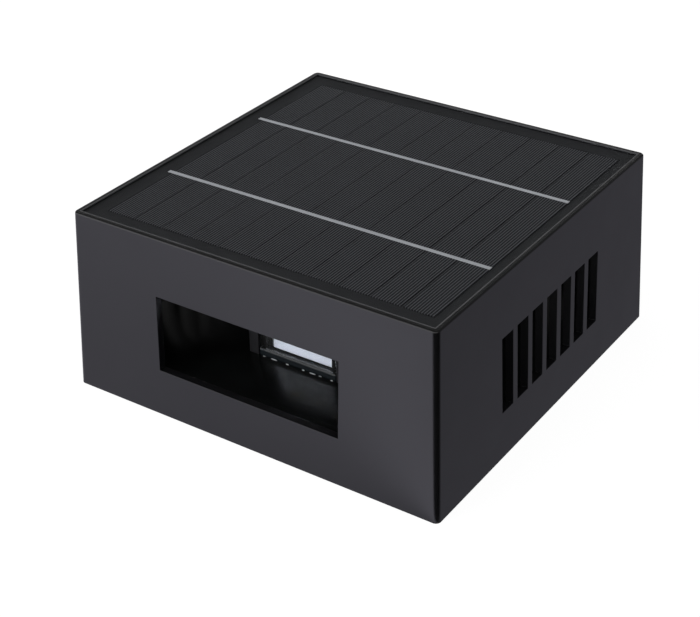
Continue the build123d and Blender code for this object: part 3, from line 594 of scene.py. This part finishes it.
class FENCE_OT_seal(bpy.types.Operator):
    """Fill the joint round the panel with a thin line of grey sealant, flush with the rim; its pale grey is a painted
    highlight for the rim's lit inner edge
    """

    bl_idname = "fence.seal"
    bl_label = "Panel sealant"

    def execute(self, context):
        joint = 0.3 * MM            # gap between rim and panel, and the sealant's depth
        slack = 0.01 * MM           # on both sides of the sealant
        rise = 0.01 * MM            # above the rim
        low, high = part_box("panel_film")
        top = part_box("housing")[1].z + rise
        reach = (joint - slack) * (ACROSS + BACK)
        inner = slack * (ACROSS + BACK)
        seal = block(Vector((low.x, low.y, high.z - joint)) - reach, Vector((high.x, high.y, top)) + reach)
        cut_block(seal, low - inner - 1 * MM * UP, Vector((high.x, high.y, top)) + inner + 1 * MM * UP)
        # silicone sealant painted a pale matt grey: a painted highlight that stands for the rim's lit inner edge as
        # the pale line round the panel
        settle(seal, "panel_sealant", soft_foam("sealant_painted_highlight", "#4a4a4c", "#545456", 2 * MM))
        bpy.ops.object.shade_flat()
        return {"FINISHED"}


class FENCE_OT_screws(bpy.types.Operator):
    """Turn the four long base screws, with a cross recess and a thread"""

    bl_idname = "fence.screws"
    bl_label = "Base screws"

    def execute(self, context):
        sizes = context.scene.fitting_sizes
        low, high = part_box("base_screws")
        length = high.z - low.z
        root = sizes.shaft_radius * 0.78
        head_edge = 0.15 * MM
        point_length, point_radius = 1.2 * MM, 0.3 * MM
        profile = [(sizes.head_radius, 0), (sizes.head_radius, head_edge), (root, sizes.head_depth)]
        # the ridges are rings, because a thread inside its boss can't be told from them
        height = sizes.head_depth + sizes.thread_pitch
        while height + sizes.thread_pitch < length - sizes.thread_pitch:
            profile += [(root, height), (sizes.shaft_radius, height + sizes.thread_pitch * 0.4),
                        (root, height + sizes.thread_pitch * 0.8)]
            height += sizes.thread_pitch
        profile += [(root, length - point_length), (point_radius, length)]
        pattern = turned(profile, 40)

        # the cross recess, with arms of this reach, width and depth
        reach, width, depth = 1.6 * MM, 0.75 * MM, 1.1 * MM
        for half in (Vector((reach, width / 2, depth)), Vector((width / 2, reach, depth))):
            cut_block(pattern, -half, half)

        steel = nodes["base_screws"].data.materials[0]
        corners = [(x, y) for x in (low.x + sizes.head_radius, high.x - sizes.head_radius)
                   for y in (low.y + sizes.head_radius, high.y - sizes.head_radius)]
        for count, (x, y) in enumerate(corners, 1):
            screw = copy_of(pattern, (x, y, low.z))
            settle(screw, f"base_screw_{count}", steel)
            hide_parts("base_screws")
        bpy.data.objects.remove(pattern)
        return {"FINISHED"}


class FENCE_OT_phosphor(bpy.types.Operator):
    """Set a yellow phosphor disc into the face of each lamp chip"""

    bl_idname = "fence.phosphor"
    bl_label = "Phosphor discs"

    def execute(self, context):
        radius = context.scene.fitting_sizes.phosphor_radius
        # silicone gel with phosphor: an opaque yellow while the lamp is off
        gel = moulded("yellow_phosphor_gel", "#cfae2c", "#dcbc3c", 0.25, 0.2 * MM, edge=0.05 * MM)
        profile = [(radius, -0.02 * MM), (radius, 0.04 * MM), (0.7 * radius, 0.08 * MM), (0.1 * radius, 0.1 * MM)]
        pattern = turned(profile, 28)

        # chips stand 4 mm to either side of the front board's middle, and 12 mm apart on the side boards
        front_step, side_step = 4 * MM, 12 * MM
        quarter_turn = math.pi / 2
        low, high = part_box("led_chips")
        board_low, board_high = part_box("side_led_boards")
        middle = (low.z + high.z) / 2
        shift = (board_low.y + board_high.y) / 2
        spots = [((side * front_step, low.y, middle), (quarter_turn, 0, 0)) for side in (-1, 1)]
        for step in (-1.5, -0.5, 0.5, 1.5):
            spots.append(((high.x, shift + step * side_step, middle), (0, quarter_turn, 0)))
            spots.append(((low.x, shift + step * side_step, middle), (0, -quarter_turn, 0)))
        for count, (place, turn) in enumerate(spots, 1):
            settle(copy_of(pattern, place, turn), f"phosphor_disc_{count}", gel)
        bpy.data.objects.remove(pattern)
        return {"FINISHED"}


class FENCE_OT_bead(bpy.types.Operator):
    """Run an uneven bead of glue along the front cover's foot, its pale dabs painted glints"""

    bl_idname = "fence.bead"
    bl_label = "Glue bead"

    def execute(self, context):
        radius = context.scene.fitting_sizes.bead_radius
        sink = 0.3 * radius         # the dabs' middle from the cover and from the floor
        low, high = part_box("front_lens")
        floor_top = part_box("floor_tray")[1].z
        # the share of the cover's width at which each dab lies, and its length for its thickness
        dabs = ((0.06, 3.5), (0.19, 8), (0.37, 4), (0.58, 3), (0.70, 8), (0.80, 4), (0.95, 3))
        drops = []
        for share, length in dabs:
            place = (low.x + share * (high.x - low.x), low.y - sink, floor_top + sink)
            bpy.ops.object.select_all(action="DESELECT")
            bpy.ops.mesh.primitive_ico_sphere_add(subdivisions=3, radius=radius, location=place,
                                                  scale=(length, 1, 1))
            drops.append(bpy.context.object)
        for drop in drops:
            drop.select_set(True)
        bpy.context.view_layer.objects.active = drops[0]
        bpy.ops.object.join()
        bead = bpy.context.object
        bpy.ops.object.transform_apply(location=True, rotation=True, scale=True)
        apply_modifier(bead, "REMESH", mode="VOXEL", voxel_size=0.05 * MM)
        apply_modifier(bead, "SMOOTH", iterations=3, factor=0.5)
        # hot-melt glue painted pale: its uneven pale dabs are painted glints, the broken glints at the cover's foot
        settle(bead, "glue_bead", moulded("hot_melt_painted_glints", "#c9ccd0", "#dfe1e4", 0.2, 0.6 * MM, edge=0.05 * MM))
        return {"FINISHED"}


# ---------------------------------------------------------------- studio
def by_ray(tree, plain, mirror_view, camera_view):
    """Picks a shader by what looks at it: lamplight, a reflection or the camera."""
    ray = add_node(tree, "ShaderNodeLightPath")
    reflected = add_node(tree, "ShaderNodeMath", {"operation": "MAXIMUM"},
                         {0: ray["Is Glossy Ray"], 1: ray["Is Transmission Ray"]})["Value"]
    lit = add_node(tree, "ShaderNodeMixShader", links={0: reflected, 1: plain, 2: mirror_view})["Shader"]
    return add_node(tree, "ShaderNodeMixShader", links={0: ray["Is Camera Ray"], 1: lit, 2: camera_view})["Shader"]


def floor_paper():
    """White paper: white to the camera, with a trace of the object's shadow. Reflections see a black and
    a grey card on it, fanned round the near corner."""
    material, tree, place = new_material("white_paper")
    low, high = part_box("housing")
    centred = add_node(tree, "ShaderNodeMapping", {"Location": (-high.x, -low.y, 0)}, {"Vector": place})["Vector"]
    fan = add_node(tree, "ShaderNodeTexGradient", {"gradient_type": "RADIAL"}, {"Vector": centred})["Fac"]
    # round the corner from the left: what the front wall mirrors, the black card, the grey card and the back
    levels = ((0.0, 0.62), (0.05, 0.7), (0.08, 0.86), (0.105, 1.14), (0.15, 1.27), (0.185, 1.3),
              (0.215, 0), (0.565, 0), (0.6, 0.28), (0.77, 0.26), (0.82, 0.5), (1.0, 0.56))
    stops = [(share, grey(level)) for share, level in levels]
    cards = add_node(tree, "ShaderNodeValToRGB", {"stops": stops}, {"Fac": fan})["Color"]
    cool = add_node(tree, "ShaderNodeMixRGB", {"Fac": 1.0, "blend_type": "MULTIPLY", "Color2": (0.97, 0.95, 1.1, 1)},
                    {"Color1": cards})["Color"]
    mirror_view = add_node(tree, "ShaderNodeEmission", {"Strength": 1.0}, {"Color": cool})["Emission"]
    # most of the white is the paper's own, and the rest is lit, so the object's shadow stays on it
    glow = add_node(tree, "ShaderNodeEmission", {"Color": grey(1), "Strength": 0.93})["Emission"]
    trace = add_node(tree, "ShaderNodeBsdfDiffuse", {"Color": grey(0.13)})["BSDF"]
    camera_view = add_node(tree, "ShaderNodeAddShader", links={0: glow, 1: trace})["Shader"]
    plain = add_node(tree, "ShaderNodeBsdfDiffuse", {"Color": grey(0.5)})["BSDF"]
    surface = by_ray(tree, plain, mirror_view, camera_view)
    add_node(tree, "ShaderNodeOutputMaterial", links={"Surface": surface})
    return material


def studio_world():
    """White to the camera. Reflections see a dark room with a bright strip above the floor on the left and a
    window in front."""
    world = bpy.data.worlds.new("studio")
    bpy.context.scene.world = world
    world.use_nodes = True
    tree = world.node_tree
    tree.nodes.clear()
    direction = add_node(tree, "ShaderNodeTexCoord")["Generated"]
    toward = add_node(tree, "ShaderNodeSeparateXYZ", links={"Vector": direction})

    heights = [(0.0, grey(1)), (0.1, grey(1)), (0.17, grey(0))]
    strip = add_node(tree, "ShaderNodeValToRGB", {"stops": heights}, {"Fac": toward["Z"]})["Color"]
    left = add_node(tree, "ShaderNodeMapRange", {"From Min": 0.1, "From Max": -0.2}, {"Value": toward["X"]})["Result"]
    glow = add_node(tree, "ShaderNodeMath", {"operation": "MULTIPLY"}, {0: strip, 1: left})["Value"]
    room = add_node(tree, "ShaderNodeMapRange", {"To Min": 0.14, "To Max": 2.6}, {"Value": glow})["Result"]

    # the window gives the front wall's upper edge its thin highlight
    heights = [(0.08, grey(0)), (0.14, grey(1)), (0.5, grey(1)), (0.62, grey(0))]
    pane = add_node(tree, "ShaderNodeValToRGB", {"stops": heights}, {"Fac": toward["Z"]})["Color"]
    ahead = add_node(tree, "ShaderNodeMapRange", {"From Min": -0.25, "From Max": -0.45},
                     {"Value": toward["Y"]})["Result"]
    window = add_node(tree, "ShaderNodeMath", {"operation": "MULTIPLY"}, {0: pane, 1: ahead})["Value"]
    shine = add_node(tree, "ShaderNodeMath", {"operation": "MULTIPLY", 1: 1.6}, {0: window})["Value"]
    strength = add_node(tree, "ShaderNodeMath", {"operation": "ADD"}, {0: room, 1: shine})["Value"]

    mirror = add_node(tree, "ShaderNodeBackground", {"Color": grey(1)}, {"Strength": strength})["Background"]
    fill = add_node(tree, "ShaderNodeBackground", {"Color": grey(0.4), "Strength": 1.0})["Background"]
    white = add_node(tree, "ShaderNodeBackground", {"Color": grey(1), "Strength": 1.0})["Background"]
    add_node(tree, "ShaderNodeOutputWorld", links={"Surface": by_ray(tree, fill, mirror, white)})


def soft_lamp(name, place, target, width, height, power):
    """A rectangular soft box aimed at a point."""
    bpy.ops.object.light_add(type="AREA", location=place)
    lamp = bpy.context.object
    lamp.name = name
    lamp.data.shape = "RECTANGLE"
    lamp.data.size = width
    lamp.data.size_y = height
    lamp.data.energy = power
    lamp.visible_glossy = False
    aim = Vector(target) - Vector(place)
    lamp.rotation_euler = aim.to_track_quat("-Z", "Y").to_euler()


class FENCE_OT_studio(bpy.types.Operator):
    """Lay the floor, hang the lamps and set the camera"""

    bl_idname = "fence.studio"
    bl_label = "Studio"

    def execute(self, context):
        studio = context.scene.studio_settings
        bpy.ops.object.select_all(action="DESELECT")
        bpy.ops.mesh.primitive_plane_add(size=studio.floor_size)
        floor = context.object
        floor.name = "floor"
        floor.data.materials.append(floor_paper())
        studio_world()
        soft_lamp("window_lamp", (-0.36, -0.88, 0.17), (0, -0.03, 0.025), 0.5, 0.22, studio.window_power)
        soft_lamp("key_lamp", (-0.75, -0.45, 0.8), (0, 0, 0.03), 0.6, 0.5, studio.key_power)
        soft_lamp("top_lamp", (0.1, -0.1, 1.1), (0, 0, 0.03), 0.9, 0.9, studio.top_power)

        camera = bpy.data.cameras.new("camera")
        camera.lens = studio.focal_length
        camera.sensor_width = 36.0
        camera.clip_start = 0.01
        stand = bpy.data.objects.new("camera", camera)
        stand.location = studio.camera_place
        stand.rotation_euler = studio.camera_turn
        context.scene.collection.objects.link(stand)
        context.scene.camera = stand
        context.scene.view_settings.view_transform = "Standard"
        return {"FINISHED"}


class FENCE_PT_panel(bpy.types.Panel):
    """Steps that finish the fence light"""

    bl_label = "Fence light"
    bl_space_type = "VIEW_3D"
    bl_region_type = "UI"
    bl_category = "Fence Light"

    def draw(self, context):
        for step in STEPS:
            self.layout.operator(step.bl_idname)
        for group in SETTINGS:
            box = self.layout.box()
            settings = getattr(context.scene, group)
            for name in settings.__annotations__:
                box.prop(settings, name)


SETTINGS = {
    "housing_finish": HousingFinish,
    "panel_finish": PanelFinish,
    "fitting_sizes": FittingSizes,
    "studio_settings": StudioSettings,
}
STEPS = (
    FENCE_OT_housing,
    FENCE_OT_panel,
    FENCE_OT_core,
    FENCE_OT_electronics,
    FENCE_OT_film,
    FENCE_OT_seal,
    FENCE_OT_screws,
    FENCE_OT_phosphor,
    FENCE_OT_bead,
    FENCE_OT_studio,
)


def register():
    for name, group in SETTINGS.items():
        bpy.utils.register_class(group)
        setattr(bpy.types.Scene, name, bpy.props.PointerProperty(type=group))
    for step in STEPS + (FENCE_PT_panel,):
        bpy.utils.register_class(step)


def unregister():
    for step in reversed(STEPS + (FENCE_PT_panel,)):
        bpy.utils.unregister_class(step)
    for name, group in SETTINGS.items():
        delattr(bpy.types.Scene, name)
        bpy.utils.unregister_class(group)


def main():
    register()
    bpy.ops.fence.housing()
    bpy.ops.fence.panel()
    bpy.ops.fence.core()
    bpy.ops.fence.electronics()
    bpy.ops.fence.film()
    bpy.ops.fence.seal()
    bpy.ops.fence.screws()
    bpy.ops.fence.phosphor()
    bpy.ops.fence.bead()
    bpy.ops.fence.studio()


if __name__ == "__main__":
    main()
